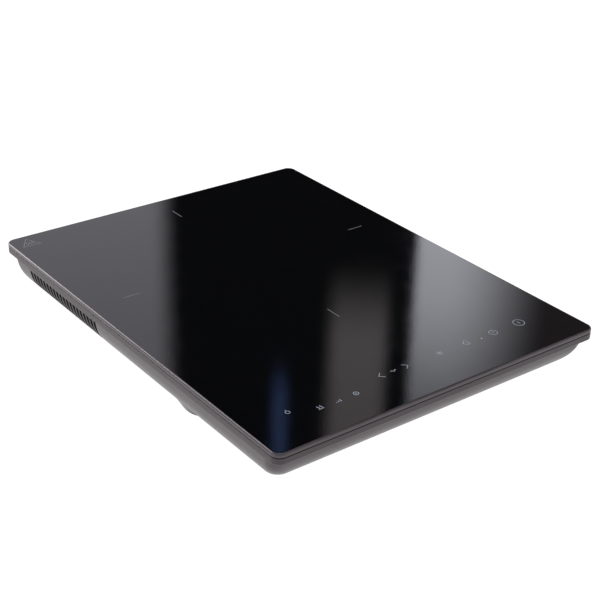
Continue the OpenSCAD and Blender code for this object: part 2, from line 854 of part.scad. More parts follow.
module line_choke() color([0.72, 0.4, 0.2]) {
    translate([choke_at.x, choke_at.y, board_top]) {
        translate([0, 0, 5]) rotate_extrude() translate([choke_radius, 0]) circle(choke_winding);
        ring(0, 4, 6, 9);
    }
}

module fuse() color([0.85, 0.88, 0.85]) {
    translate([fuse_at.x, fuse_at.y, board_top + fuse_clip.z])
        rotate([0, 90, 0]) cylinder(h = fuse_length, r = fuse_radius);
    for (x = [1, fuse_length - 1 - fuse_clip.x])
        on_board([fuse_at.x + x, fuse_at.y - fuse_clip.y / 2], fuse_clip);
}

module varistor() color([0.2, 0.35, 0.7]) {
    translate([varistor_at.x, varistor_at.y, board_top + 7])
        rotate([-90, 0, 0]) cylinder(h = 4, r = varistor_radius);
    for (x = [-2.5, 2.5]) translate([varistor_at.x + x, varistor_at.y + 2, board_top])
        cylinder(h = 5, r = 0.5);
}

module supply_transformer() color([0.85, 0.75, 0.3]) {
    on_board(transformer_at, transformer_foot);
    on_board(transformer_at + [2, 2], transformer_core, transformer_foot.z);
    on_board(transformer_at + [0, 5], transformer_winding, transformer_foot.z);
}

module electrolytic_capacitors() color([0.1, 0.15, 0.3]) {
    for (x = electrolytic_x) translate([x, electrolytic_y, board_top])
        cylinder(h = electrolytic_height, r = electrolytic_radius);
}

module buzzer() color([0.08, 0.08, 0.08]) {
    translate([buzzer_at.x, buzzer_at.y, board_top]) {
        cylinder(h = buzzer_height, r = buzzer_radius);
        ring(buzzer_height, buzzer_height + 1, 1, buzzer_radius);
    }
}

// ---------- Controls ----------

module control_board() color(board_green) {
    difference() {
        block(control_pos, control);
        for (p = CONTROL_SCREWS) drill(p, control_pos.z - cut, control_top + cut, 1.7);
    }
}

module control_board_screws() color(steel) {
    for (p = CONTROL_SCREWS) screw(p, control_top + screw_head_height, 9, -1);
}

module touch_springs() color(steel) {
    height = glass_z - control_top;
    for (x = KEYS) translate([x, key_y, control_top]) {
        ring(0, 0.6, 2.4, 4);
        for (i = [1 : 3]) translate([0, 0, i * (height - 0.8) / 4]) ring(0, 0.8, 3, 4);
        ring(height - 0.6, height, 2.4, 4);
        for (a = [0, 180]) rotate([0, 0, a]) translate([3.5, 0, 0]) cylinder(h = height, r = 0.4);
    }
}

module indicator_leds() color([0.9, 0.9, 0.9]) {
    for (x = LEDS) block([x - 1.2, led_y - 0.8, control_top], [2.4, 1.6, 1.2]);
    block([power_led.x - 1.2, power_led.y - 0.8, control_top], [2.4, 1.6, 1.2]);
}

module level_display() color([0.1, 0.1, 0.1]) {
    block([display_x - display_box.x / 2, key_y - display_box.y / 2, control_top], display_box);
}

module ribbon_sockets() color([0.92, 0.92, 0.9]) {
    block([socket_x, -129.8, board_top], [socket_width, socket_depth, 7]);
    block([socket_x, -139, control_pos.z - 5], [socket_width, socket_depth, 5]);
}

module ribbon_cable() color([0.75, 0.75, 0.77]) {
    width = ribbon_width;
    thickness = ribbon_thickness;
    board_y = -128.2;
    panel_y = -137.4;
    run_z = board_top + 8;
    translate([socket_x + (socket_width - width) / 2, 0, 0]) {
        block([0, board_y, board_top + 7], [width, thickness, 1]);
        block([0, panel_y, run_z], [width, board_y - panel_y + thickness, thickness]);
        block([0, panel_y, run_z], [width, thickness, control_pos.z - 5 - run_z]);
    }
}

glass_top();
glass_seal();
top_frame();
base_tub();
foot_front_left();
foot_front_right();
foot_back_left();
foot_back_right();
case_screws();
mains_gland();
mains_leads();
fan_housing();
fan_bearing();
fan_stator();
fan_shaft();
fan_rotor();
fan_magnet();
fan_screws();
fan_lead();
fan_connector();
coil_carrier();
carrier_screws();
ferrite_bars();
induction_coil();
mica_sheet();
insulation_felt();
sensor_holder();
sensor_spring();
temperature_sensor();
coil_leads();
coil_terminals();
power_board();
power_board_screws();
heatsink();
heatsink_screws();
heatsink_thermistor();
igbt();
bridge_rectifier();
resonant_capacitor();
filter_capacitor();
suppression_capacitor();
line_choke();
fuse();
varistor();
supply_transformer();
electrolytic_capacitors();
buzzer();
control_board();
control_board_screws();
touch_springs();
indicator_leds();
level_display();
ribbon_sockets();
ribbon_cable();
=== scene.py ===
import json
import math

import bmesh
import bpy
from mathutils import Matrix, Vector


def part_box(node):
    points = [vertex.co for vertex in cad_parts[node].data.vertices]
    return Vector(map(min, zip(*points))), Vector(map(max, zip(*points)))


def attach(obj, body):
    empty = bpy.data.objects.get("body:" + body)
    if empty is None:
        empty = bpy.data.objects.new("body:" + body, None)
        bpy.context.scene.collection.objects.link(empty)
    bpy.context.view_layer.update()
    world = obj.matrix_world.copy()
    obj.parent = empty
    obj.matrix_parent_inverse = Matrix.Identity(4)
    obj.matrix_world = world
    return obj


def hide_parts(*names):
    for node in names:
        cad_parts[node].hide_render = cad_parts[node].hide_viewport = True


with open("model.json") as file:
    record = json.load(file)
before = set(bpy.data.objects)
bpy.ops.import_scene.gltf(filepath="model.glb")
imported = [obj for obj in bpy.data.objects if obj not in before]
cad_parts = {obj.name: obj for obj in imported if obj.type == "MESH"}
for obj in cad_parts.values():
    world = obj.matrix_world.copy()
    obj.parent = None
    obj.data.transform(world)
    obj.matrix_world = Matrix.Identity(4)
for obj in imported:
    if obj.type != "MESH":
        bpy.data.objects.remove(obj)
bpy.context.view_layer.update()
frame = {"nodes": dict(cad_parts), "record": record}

NODES = frame["nodes"]
MM = 0.001
CASE = "case"            # the body that carries every piece made here

# The view: the camera stands in front of the control edge, on the side with the air slots.
# Angles are in degrees, the distance and the aim in metres, the lens and the sensor in mm.
CAMERA_HEADING = 37.558
CAMERA_PITCH = 27.775
CAMERA_ROLL = 1.412
CAMERA_DISTANCE = 0.9676
CAMERA_LENS = 79.4
CAMERA_SENSOR = 36
CAMERA_AIM = (-0.0080, -0.0297)


# ---------------------------------------------------------------- materials

NOISE_LOW, NOISE_HIGH = 0.3, 0.7     # nearly all of a noise's values lie between these
ROUGHNESS_SPREAD = 0.06
GLASS_IOR = 1.52
BOX_SOFTNESS = 0.3 * MM


def shader(name):
    """A new material, its node tree and its Principled shader."""
    mat = bpy.data.materials.new(name)
    mat.use_nodes = True
    tree = mat.node_tree
    return mat, tree, tree.nodes["Principled BSDF"]


def noise(tree, scale, detail=2.0, stretch=(1, 1, 1)):
    """Noise over the object's own coordinates, in features per metre."""
    coords = tree.nodes.new("ShaderNodeTexCoord")
    mapping = tree.nodes.new("ShaderNodeMapping")
    mapping.inputs["Scale"].default_value = stretch
    tex = tree.nodes.new("ShaderNodeTexNoise")
    tex.inputs["Scale"].default_value = scale
    tex.inputs["Detail"].default_value = detail
    tree.links.new(coords.outputs["Object"], mapping.inputs["Vector"])
    tree.links.new(mapping.outputs["Vector"], tex.inputs["Vector"])
    return tex.outputs["Fac"]


def maths(tree, operation, *sources):
    """The result of one operation on the sources."""
    node = tree.nodes.new("ShaderNodeMath")
    node.operation = operation
    for source, socket in zip(sources, node.inputs):
        tree.links.new(source, socket)
    return node.outputs["Value"]


def remap(tree, value, low, high, start=NOISE_LOW, end=NOISE_HIGH):
    """Value, from start to end, spread over low to high."""
    node = tree.nodes.new("ShaderNodeMapRange")
    for key, number in zip(("From Min", "From Max", "To Min", "To Max"), (start, end, low, high)):
        node.inputs[key].default_value = number
    tree.links.new(value, node.inputs["Value"])
    return node.outputs["Result"]


def blend_colours(tree, value, dark, light):
    """A noise value turned into a colour between dark and light."""
    ramp = tree.nodes.new("ShaderNodeValToRGB")
    stops = zip(ramp.color_ramp.elements, (NOISE_LOW, NOISE_HIGH), (dark, light))
    for element, position, colour in stops:
        element.position = position
        element.color = (*colour, 1)
    tree.links.new(value, ramp.inputs["Fac"])
    return ramp.outputs["Color"]


def bump(tree, bsdf, height, distance, below=None):
    """Relief of the given distance, laid over the normal of a relief below it."""
    node = tree.nodes.new("ShaderNodeBump")
    node.inputs["Distance"].default_value = distance
    node.inputs["Strength"].default_value = 1.0
    tree.links.new(height, node.inputs["Height"])
    if below is not None:
        tree.links.new(below, node.inputs["Normal"])
    tree.links.new(node.outputs["Normal"], bsdf.inputs["Normal"])
    return node.outputs["Normal"]


def inside_box(tree, low, high):
    """1 between two corners of a box, 0 outside."""
    coords = tree.nodes.new("ShaderNodeTexCoord")
    axes = tree.nodes.new("ShaderNodeSeparateXYZ")
    tree.links.new(coords.outputs["Object"], axes.inputs["Vector"])
    inside = None
    for axis, a, b in zip(axes.outputs, low, high):
        for start, end in ((a, a + BOX_SOFTNESS), (b, b - BOX_SOFTNESS)):
            near = remap(tree, axis, 0.0, 1.0, start, end)
            inside = near if inside is None else maths(tree, "MULTIPLY", inside, near)
    return inside


# How open a spot is to the air around it: below CLOSED it is a crevice, above OPEN a plain face.
# Painted shade: a crevice keeps CREVICE_LIGHT of its colour, the ribs between the slots RIB_LIGHT of
# theirs.
# The painted shade takes the shine down with the colour, from PLASTIC_SPECULAR to SHADED_SPECULAR at
# SHADED_BELOW.
CLOSED, OPEN = 0.25, 0.85
CREVICE_LIGHT = 0.06
RIB_LIGHT = 0.42
PLASTIC_SPECULAR = 0.34
SHADED_SPECULAR = 0.02
SHADED_BELOW = 0.1


def paint_crevice_shade(tree, bsdf, colour, reach, rib_shade_box=None):
    """Painted shade: takes the colour and the shine down inside slots and seams narrower than reach mm,
    and on the thin ribs in the box, which shade each other."""
    # painted shade: ambient occlusion darkens the colour and the shine in crevices
    depth = tree.nodes.new("ShaderNodeAmbientOcclusion")
    depth.samples = 8
    depth.inputs["Distance"].default_value = reach * MM
    painted_shade_factor = remap(tree, depth.outputs["AO"], CREVICE_LIGHT, 1.0, CLOSED, OPEN)
    if rib_shade_box:
        # painted shade on the ribs between the slots, inside the box
        painted_rib_shade = remap(tree, inside_box(tree, *rib_shade_box), 1.0, RIB_LIGHT, 0.0, 1.0)
        painted_shade_factor = maths(tree, "MULTIPLY", painted_shade_factor, painted_rib_shade)
    scaled = tree.nodes.new("ShaderNodeVectorMath")
    scaled.operation = "SCALE"
    tree.links.new(colour, scaled.inputs[0])
    tree.links.new(painted_shade_factor, scaled.inputs["Scale"])
    tree.links.new(scaled.outputs["Vector"], bsdf.inputs["Base Color"])
    shine = remap(tree, painted_shade_factor, SHADED_SPECULAR, PLASTIC_SPECULAR, SHADED_BELOW, 1.0)
    tree.links.new(shine, bsdf.inputs["Specular IOR Level"])


def surface(name, colour, rough, metal=0.0, grain=2500, depth=0.02, tint=0.12,
            stretch=(1, 1, 1), coat=0.0, crevice=0.0, rib_shade_box=None):
    """Moulded, cast or drawn material: mottled colour, uneven gloss and a fine grain. The grain is
    in features per metre and its depth in mm."""
    mat, tree, bsdf = shader(name)
    bsdf.inputs["Metallic"].default_value = metal
    bsdf.inputs["Coat Weight"].default_value = coat
    mottle = noise(tree, 60, 4.0, stretch)
    dark = tuple(c * (1 - tint) for c in colour)
    light = tuple(min(1, c * (1 + tint)) for c in colour)
    mottled = blend_colours(tree, mottle, dark, light)
    # painted shade in seams and slots, and on the ribs in the rib box
    if crevice:
        paint_crevice_shade(tree, bsdf, mottled, crevice, rib_shade_box)
    else:
        tree.links.new(mottled, bsdf.inputs["Base Color"])
    fine = noise(tree, grain, 2.0, stretch)
    uneven = remap(tree, fine, rough - ROUGHNESS_SPREAD, rough + ROUGHNESS_SPREAD)
    tree.links.new(uneven, bsdf.inputs["Roughness"])
    bump(tree, bsdf, fine, depth * MM)
    return mat


def black_glass():
    """Polished black glass-ceramic: a slow ripple and a fine orange peel under a clean gloss."""
    mat, tree, bsdf = shader("black_glass")
    bsdf.inputs["IOR"].default_value = GLASS_IOR
    speck = noise(tree, 1500, 1.0)
    tree.links.new(blend_colours(tree, speck, (0.0008, 0.0009, 0.0012), (0.0020, 0.0022, 0.0028)),
                   bsdf.inputs["Base Color"])
    tree.links.new(remap(tree, noise(tree, 40, 2.0), 0.025, 0.05), bsdf.inputs["Roughness"])
    ripple = bump(tree, bsdf, noise(tree, 45, 1.0), 0.012 * MM)
    bump(tree, bsdf, noise(tree, 900, 1.5), 0.008 * MM, below=ripple)
    return mat


def ground_glass():
    """The ground and polished edge of the plate: dark grey, a little purple, faintly streaky."""
    mat, tree, bsdf = shader("ground_glass")
    bsdf.inputs["IOR"].default_value = GLASS_IOR
    streak = noise(tree, 60, 2.0, (1, 1, 9))
    tree.links.new(blend_colours(tree, streak, (0.036, 0.029, 0.034), (0.046, 0.038, 0.044)),
                   bsdf.inputs["Base Color"])
    tree.links.new(remap(tree, noise(tree, 200), 0.13, 0.20), bsdf.inputs["Roughness"])
    bump(tree, bsdf, noise(tree, 260), 0.004 * MM)
    return mat


def copper_litz():
    """Bundled varnished strands that wind round the lead."""
    mat, tree, bsdf = shader("copper_litz")
    bsdf.inputs["Metallic"].default_value = 0.85
    wave = tree.nodes.new("ShaderNodeTexWave")
    wave.wave_type = "RINGS"
    wave.inputs["Scale"].default_value = 900
    wave.inputs["Distortion"].default_value = 6.0
    coords = tree.nodes.new("ShaderNodeTexCoord")
    tree.links.new(coords.outputs["Object"], wave.inputs["Vector"])
    tree.links.new(blend_colours(tree, wave.outputs["Fac"], (0.30, 0.10, 0.035), (0.72, 0.33, 0.15)),
                   bsdf.inputs["Base Color"])
    tree.links.new(remap(tree, noise(tree, 900), 0.28, 0.45), bsdf.inputs["Roughness"])
    bump(tree, bsdf, wave.outputs["Fac"], 0.12 * MM)
    return mat


def circuit_board():
    """Green solder mask over copper tracks."""
    mat, tree, bsdf = shader("circuit_board")
    bsdf.inputs["Coat Weight"].default_value = 0.4
    bsdf.inputs["Coat Roughness"].default_value = 0.2
    brick = tree.nodes.new("ShaderNodeTexBrick")
    brick.inputs["Scale"].default_value = 160
    brick.inputs["Mortar Size"].default_value = 0.03
    brick.inputs["Color1"].default_value = (0.012, 0.075, 0.032, 1)
    brick.inputs["Color2"].default_value = (0.018, 0.105, 0.045, 1)
    brick.inputs["Mortar"].default_value = (0.06, 0.21, 0.09, 1)
    coords = tree.nodes.new("ShaderNodeTexCoord")
    tree.links.new(coords.outputs["Object"], brick.inputs["Vector"])
    tree.links.new(brick.outputs["Color"], bsdf.inputs["Base Color"])
    tree.links.new(remap(tree, noise(tree, 700), 0.3, 0.42), bsdf.inputs["Roughness"])
    bump(tree, bsdf, brick.outputs["Fac"], 0.03 * MM)
    return mat


def felt():
    """Needled ceramic fibre."""
    mat, tree, bsdf = shader("ceramic_felt")
    bsdf.inputs["Sheen Weight"].default_value = 0.3
    fibre = noise(tree, 900, 6.0, (1, 0.25, 1))
    tree.links.new(blend_colours(tree, fibre, (0.62, 0.60, 0.55), (0.86, 0.85, 0.81)),
                   bsdf.inputs["Base Color"])
    tree.links.new(remap(tree, noise(tree, 300), 0.85, 0.97), bsdf.inputs["Roughness"])
    bump(tree, bsdf, fibre, 0.3 * MM)
    return mat


def clear_tube():
    """The fuse's glass tube."""
    mat, tree, bsdf = shader("clear_tube")
    bsdf.inputs["Transmission Weight"].default_value = 0.85
    tree.links.new(blend_colours(tree, noise(tree, 200), (0.74, 0.80, 0.77), (0.84, 0.89, 0.86)),
                   bsdf.inputs["Base Color"])
    tree.links.new(remap(tree, noise(tree, 500), 0.03, 0.10), bsdf.inputs["Roughness"])
    return mat


GLASS = black_glass()
EDGE = ground_glass()
LITZ = copper_litz()
PRINT = surface("printed_mark", (0.27, 0.31, 0.38), 0.40, grain=3000, depth=0.002, tint=0.06)
PRINT_FAINT = surface("faint_mark", (0.15, 0.155, 0.17), 0.40, grain=3000, depth=0.002, tint=0.06)
SOLDER = surface("solder", (0.62, 0.62, 0.60), 0.30, metal=1.0, grain=1500, depth=0.02)

# The slotted patch of the left wall, where the ribs between the slots get painted shade
RIB_SHADE_BOX = ((-142 * MM, 39.7 * MM, 0), (-118 * MM, 142.3 * MM, 32.8 * MM))

SLOT_MATERIALS = {
    "black_glass": GLASS,
    "seal_black": surface("seal_black", (0.012, 0.012, 0.012), 0.55),
    # Both plastics get painted shade in their seams and slots, and the tub also on the ribs between its
    # slots
    "frame_plastic": surface("frame_plastic", (0.043, 0.036, 0.041), 0.32, grain=3200, depth=0.012,
                             tint=0.05, crevice=1.5),
    "tub_plastic": surface("tub_plastic", (0.066, 0.055, 0.062), 0.33, grain=2600, depth=0.02,
                           tint=0.05, crevice=3.5, rib_shade_box=RIB_SHADE_BOX),
    "foot_rubber": surface("foot_rubber", (0.030, 0.030, 0.031), 0.75, grain=1500, depth=0.05),
    "screw_steel": surface("screw_steel", (0.58, 0.59, 0.60), 0.30, metal=1.0, grain=1200),
    "spring_steel": surface("spring_steel", (0.66, 0.66, 0.64), 0.24, metal=1.0, grain=1200),
    "gland_plastic": surface("gland_rubber", (0.022, 0.022, 0.023), 0.62, grain=1600, depth=0.04),
    "lead_sleeve": surface("lead_sleeve", (0.40, 0.060, 0.045), 0.50, grain=1300, depth=0.05),
    "fan_plastic": surface("fan_plastic", (0.022, 0.022, 0.023), 0.40, grain=2400),
    "bronze": surface("bronze", (0.55, 0.38, 0.18), 0.38, metal=1.0, grain=3000, depth=0.03),
    "copper_winding": LITZ,
    "ferrite": surface("ferrite", (0.060, 0.060, 0.066), 0.62, grain=1400, depth=0.06),
    "connector_plastic": surface("connector_plastic", (0.74, 0.73, 0.68), 0.45),
    "carrier_plastic": surface("carrier_plastic", (0.46, 0.43, 0.36), 0.58, grain=1800, depth=0.04),
    "mica": surface("mica", (0.46, 0.37, 0.22), 0.30, grain=260, depth=0.08, tint=0.25, coat=0.3),
    "felt": felt(),
    "silicone": surface("silicone", (0.46, 0.085, 0.035), 0.60, grain=1400, depth=0.04),
    "sensor_ceramic": surface("sensor_ceramic", (0.72, 0.71, 0.67), 0.50, grain=1800, depth=0.03),
    "board_green": circuit_board(),
    "heatsink_metal": surface("heatsink_metal", (0.66, 0.67, 0.69), 0.34, metal=1.0, grain=500,
                              depth=0.04, stretch=(6, 0.3, 6)),
    "chip_black": surface("chip_black", (0.020, 0.020, 0.021), 0.55, grain=2600, depth=0.03),
    "capacitor_red": surface("capacitor_red", (0.45, 0.035, 0.025), 0.35, coat=0.2),
    "capacitor_yellow": surface("capacitor_yellow", (0.64, 0.42, 0.045), 0.35, coat=0.2),
    "capacitor_sleeve": surface("capacitor_sleeve", (0.020, 0.040, 0.11), 0.30, coat=0.3),
    "fuse_glass": clear_tube(),
    "varistor_blue": surface("varistor_blue", (0.030, 0.095, 0.34), 0.38, grain=900, coat=0.2),
    "transformer_tape": surface("transformer_tape", (0.58, 0.44, 0.06), 0.32, grain=300, depth=0.05),
    "led_clear": surface("led_clear", (0.80, 0.80, 0.80), 0.25, grain=900),
    "ribbon_grey": surface("ribbon_grey", (0.42, 0.42, 0.44), 0.45, grain=900, depth=0.08,
                           stretch=(9, 0.2, 0.2)),
}


# ---------------------------------------------------------------- CAD nodes

def smoothing_group(angle):
    """Geometry nodes that shade smooth and keep edges sharper than the angle crisp."""
    tree = bpy.data.node_groups.new("smooth_by_angle", "GeometryNodeTree")
    tree.interface.new_socket("Geometry", in_out="INPUT", socket_type="NodeSocketGeometry")
    tree.interface.new_socket("Geometry", in_out="OUTPUT", socket_type="NodeSocketGeometry")
    entry = tree.nodes.new("NodeGroupInput")
    leave = tree.nodes.new("NodeGroupOutput")
    faces = tree.nodes.new("GeometryNodeSetShadeSmooth")
    edges = tree.nodes.new("GeometryNodeSetShadeSmooth")
    edges.domain = "EDGE"
    edges.inputs["Shade Smooth"].default_value = False
    edge_angle = tree.nodes.new("GeometryNodeInputMeshEdgeAngle")
    compare = tree.nodes.new("FunctionNodeCompare")
    compare.operation = "GREATER_THAN"
    compare.inputs["B"].default_value = math.radians(angle)
    tree.links.new(edge_angle.outputs["Unsigned Angle"], compare.inputs["A"])
    tree.links.new(entry.outputs[0], faces.inputs["Geometry"])
    tree.links.new(faces.outputs[0], edges.inputs["Geometry"])
    tree.links.new(compare.outputs[0], edges.inputs["Selection"])
    tree.links.new(edges.outputs[0], leave.inputs[0])
    return tree


SMOOTHING = smoothing_group(angle=28)
WELD_DISTANCE = 0.004 * MM
BEVEL_SEGMENTS = 2
BEVEL_ANGLE = 40


def dress(name, edge):
    """Gives a CAD node its slot's material, joins its faces and rounds its edges by edge mm."""
    obj = NODES[name]
    weld = obj.modifiers.new("weld", "WELD")
    weld.merge_threshold = WELD_DISTANCE
    if edge:
        bevel = obj.modifiers.new("edges", "BEVEL")
        bevel.width = edge * MM
        bevel.segments = BEVEL_SEGMENTS
        bevel.limit_method = "ANGLE"
        bevel.angle_limit = math.radians(BEVEL_ANGLE)
        bevel.miter_outer = "MITER_ARC"
        bevel.use_clamp_overlap = True
    smooth = obj.modifiers.new("smooth", "NODES")
    smooth.node_group = SMOOTHING
    normals = obj.modifiers.new("normals", "WEIGHTED_NORMAL")
    normals.keep_sharp = True
    obj.data.materials.clear()
    obj.data.materials.append(SLOT_MATERIALS[SLOT_OF[name]])


SLOT_OF = {part["node"]: part["material_slot"] for part in frame["record"]["subparts"]}

# Edge rounding of each moulded, sawn or pressed CAD node, in mm
EDGE_ROUNDING = {
    "fan_housing": 0.3, "coil_carrier": 0.4, "ferrite_bars": 0.4, "heatsink": 0.15, "igbt": 0.2,
    "bridge_rectifier": 0.2, "resonant_capacitor": 0.9, "filter_capacitor": 0.9,
    "suppression_capacitor": 0.7, "supply_transformer": 0.4, "electrolytic_capacitors": 0.8,
    "buzzer": 0.3, "fan_connector": 0.3, "ribbon_sockets": 0.3, "level_display": 0.3,
    "varistor": 1.0, "mains_gland": 0.5, "case_screws": 0.25, "fan_screws": 0.25,
    "carrier_screws": 0.25, "power_board_screws": 0.25, "heatsink_screws": 0.25,
    "control_board_screws": 0.25, "fan_stator": 0.3, "fan_rotor": 0.25, "sensor_holder": 0.3,
    "temperature_sensor": 0.2, "coil_terminals": 0.2, "line_choke": 0.3,
}
for node_name in NODES:
    dress(node_name, EDGE_ROUNDING.get(node_name, 0.0))


# ---------------------------------------------------------------- mesh tools

def piece(name, mesh, materials, stands_for=()):
    """A finished piece on the case: its materials and the nodes that it replaces."""
    obj = bpy.data.objects.new(name, mesh)
    bpy.context.scene.collection.objects.link(obj)
    for mat in materials:
        mesh.materials.append(mat)
    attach(obj, CASE)
    if stands_for:
        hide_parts(*stands_for)


def mesh_from(name, bm, smooth_angle=35):
    """The finished mesh, smooth but for edges sharper than the angle."""
    bmesh.ops.remove_doubles(bm, verts=bm.verts, dist=1e-7)
    bmesh.ops.recalc_face_normals(bm, faces=bm.faces)
    for edge in bm.edges:
        edge.smooth = len(edge.link_faces) == 2 and edge.calc_face_angle(0) < math.radians(smooth_angle)
    for face in bm.faces:
        face.smooth = True
    mesh = bpy.data.meshes.new(name)
    bm.to_mesh(mesh)
    bm.free()
    return mesh


def skin(bm, rings, material=lambda i: 0):
    """Quads between neighbouring closed rings of points."""
    rows = [[bm.verts.new(p) for p in ring] for ring in rings]
    count = len(rows[0])
    for i in range(len(rows) - 1):
        for k in range(count):
            n = (k + 1) % count
            face = bm.faces.new((rows[i][k], rows[i][n], rows[i + 1][n], rows[i + 1][k]))
            face.material_index = material(i)
    return rows


def cap(bm, rows, material=0):
    """Flat faces that close the first and last rings."""
    for row in (rows[0], rows[-1]):
        bm.faces.new(row).material_index = material


def arc(start, end, steps):
    """Angles in radians from start to end degrees, both included."""
    return [math.radians(start + (end - start) * i / steps) for i in range(steps + 1)]


def rounded_loop(half_x, half_y, radius, z, steps=14):
    """Points round a rectangle with round corners."""
    points = []
    for quarter, (sx, sy) in enumerate(((1, 1), (-1, 1), (-1, -1), (1, -1))):
        for a in arc(90 * quarter, 90 * quarter + 90, steps):
            points.append((sx * (half_x - radius) + radius * math.cos(a),
                           sy * (half_y - radius) + radius * math.sin(a), z))
    return points


def sweep(bm, path, radius, sides):
    """A closed tube along a list of points. The tilted up only has to differ from every step."""
    path = [Vector(p) for p in path]
    up = Vector((0.31, 0.23, 0.92)).normalized()
    rings = []
    for i, p in enumerate(path):
        ahead = path[min(i + 1, len(path) - 1)] - path[max(i - 1, 0)]
        t = ahead.normalized()
        u = t.cross(up).normalized()
        v = t.cross(u)
        rings.append([p + radius * (math.cos(a) * u + math.sin(a) * v)
                      for a in (math.tau * k / sides for k in range(sides))])
    cap(bm, skin(bm, rings))


def lathe(bm, profile, centre, steps=64):
    """Turns (radius, height) points about an upright axis and closes both ends."""
    rings = []
    for r, z in profile:
        rings.append([(centre[0] + r * math.cos(math.tau * k / steps),
                       centre[1] + r * math.sin(math.tau * k / steps), z) for k in range(steps)])
    cap(bm, skin(bm, rings))


MITRE_LIMIT = 0.45


def ribbon(bm, points, width, z_low, z_high, closed):
    """A flat stroke of even width along points in the plan, with mitred joints."""
    pts = [Vector(p) for p in points]
    count = len(pts)
    left, right = [], []
    for i, p in enumerate(pts):
        before = pts[i - 1] if closed or i > 0 else None
        after = pts[(i + 1) % count] if closed or i < count - 1 else None
        into = (p - before).normalized() if before is not None else None
        out = (after - p).normalized() if after is not None else None
        into = into if into is not None else out
        out = out if out is not None else into
        across = Vector((-(into + out).y, (into + out).x)).normalized()
        reach = width / 2 / max(MITRE_LIMIT, across.dot(Vector((-into.y, into.x))))
        left.append(p + across * reach)
        right.append(p - across * reach)
    rings = [[(a.x, a.y, z_low), (a.x, a.y, z_high), (b.x, b.y, z_high), (b.x, b.y, z_low)]
             for a, b in zip(left, right)]
    if closed:
        rings.append(rings[0])
    rows = skin(bm, rings)
    if not closed:
        cap(bm, rows)


# ---------------------------------------------------------------- glass plate

GLASS_LOW, GLASS_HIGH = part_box("glass_top")
HALF_X = GLASS_HIGH[0]
HALF_Y = GLASS_HIGH[1]
PRINT_THICKNESS = 0.02 * MM
TOP_Z = GLASS_HIGH[2] - PRINT_THICKNESS
CORNER = 7.0 * MM
ROUNDING = 1.2 * MM
LOWER_ROUNDING = 0.4 * MM
TOP_STRIP = 0.35 * MM        # narrow flats beside the roundings, which keep the big faces smooth
UNDER_STRIP = 0.2 * MM
ROUNDING_STEPS = 8


def glass_plate():
    """The plate: flat black top and underside, with a ground edge rounded above and eased below."""
    profile = [(LOWER_ROUNDING + UNDER_STRIP, GLASS_LOW[2])]
    for a in arc(-90, 0, ROUNDING_STEPS):
        profile.append((LOWER_ROUNDING * (1 - math.cos(a)),
                        GLASS_LOW[2] + LOWER_ROUNDING * (1 + math.sin(a))))
    for a in arc(0, 90, ROUNDING_STEPS):
        profile.append((ROUNDING * (1 - math.cos(a)), TOP_Z - ROUNDING * (1 - math.sin(a))))
    profile.append((ROUNDING + TOP_STRIP, TOP_Z))
    loops = [rounded_loop(HALF_X - inset, HALF_Y - inset, CORNER - inset, z) for inset, z in profile]
    black_strip = len(loops) - 2
    bm = bmesh.new()
    cap(bm, skin(bm, loops, material=lambda i: 0 if i == black_strip else 1))
    piece("glass_plate", mesh_from("glass_plate", bm, smooth_angle=60), [GLASS, EDGE],
          stands_for=["glass_top"])


glass_plate()


# ---------------------------------------------------------------- printed marks

# Places and sizes of the marks, in mm
STROKE = 0.4
FINE_STROKE = 0.5
KEY_ROW = -145.8
LIGHT_ROW = -153.7
KEY_X = {"lock": -105.5, "less": -28.5, "more": -6.2, "star": 23.8, "boost": 48.3, "timer": 74.7,
         "power": 100.0}
SLIDER_X = -17.3
LEVEL_X = {"keep_warm": -85.2, "bars": -71.0, "dial": -55.8}
DOT = (62.0, -147.5)
DOT_RADIUS = 0.45
TRIANGLE = ((-133.3, 163.4), (-118.9, 163.4), (-125.3, 176.4))
TRIANGLE_WAVES = (-128.2, -125.8, -123.4)
TRIANGLE_WAVE_Y = 167.6
COIL_LOW, COIL_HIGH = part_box("induction_coil")
COIL_Y = (COIL_LOW[1] + COIL_HIGH[1]) / 2 / MM
TICK_INNER, TICK_OUTER = 98, 112
WAVE_STEPS = 24


def circle(x, y, r, steps=40):
    """Points round a circle, the last one short of the first."""
    return [(x + r * math.cos(math.radians(360 * i / steps)),
             y + r * math.sin(math.radians(360 * i / steps))) for i in range(steps)]


# Each mark is a list of strokes, and a stroke is its points and whether it is closed.

def power_mark(x, y, radius=4.2, bar=1.6):
    return [(circle(x, y, radius), True), ([(x, y - bar), (x, y + bar)], False)]


def timer_mark(x, y, radius=3.1, long_hand=1.9, short_hand=1.3):
    return [(circle(x, y, radius), True), ([(x, y + long_hand), (x, y), (x + short_hand, y)], False)]


def lock_mark(x, y, radius=1.5, drop=0.7, bar=1.5):
    ring_top = y - drop + radius
    return [(circle(x, y - drop, radius), True), ([(x, ring_top), (x, ring_top + bar)], False)]


def chevron(x, y, side, back=1.8, tip=1.6, half=3.0):
    """An arrowhead that points left for side 1 and right for side -1."""
    return [([(x + side * back, y + half), (x - side * tip, y), (x + side * back, y - half)], False)]


def boost_mark(x, y, shift=0.9, bar=1.9, half=3.0):
    return chevron(x - shift, y, 1) + [([(x + bar, y - half), (x + bar, y + half)], False)]


def asterisk(x, y, r=2.5):
    strokes = []
    for a in arc(30, 150, 2):
        along, up = r * math.cos(a), r * math.sin(a)
        strokes.append(([(x - along, y - up), (x + along, y + up)], False))
    return strokes


def wave_mark(x, y, length, height, turns=1.5, upright=False):
    """A sine wave, height to either side of its middle line."""
    points = []
    for i in range(WAVE_STEPS + 1):
        along = length * (i / WAVE_STEPS - 0.5)
        off = height * math.sin(math.tau * turns * i / WAVE_STEPS)
        points.append((x + off, y + along) if upright else (x + along, y + off))
    return [(points, False)]


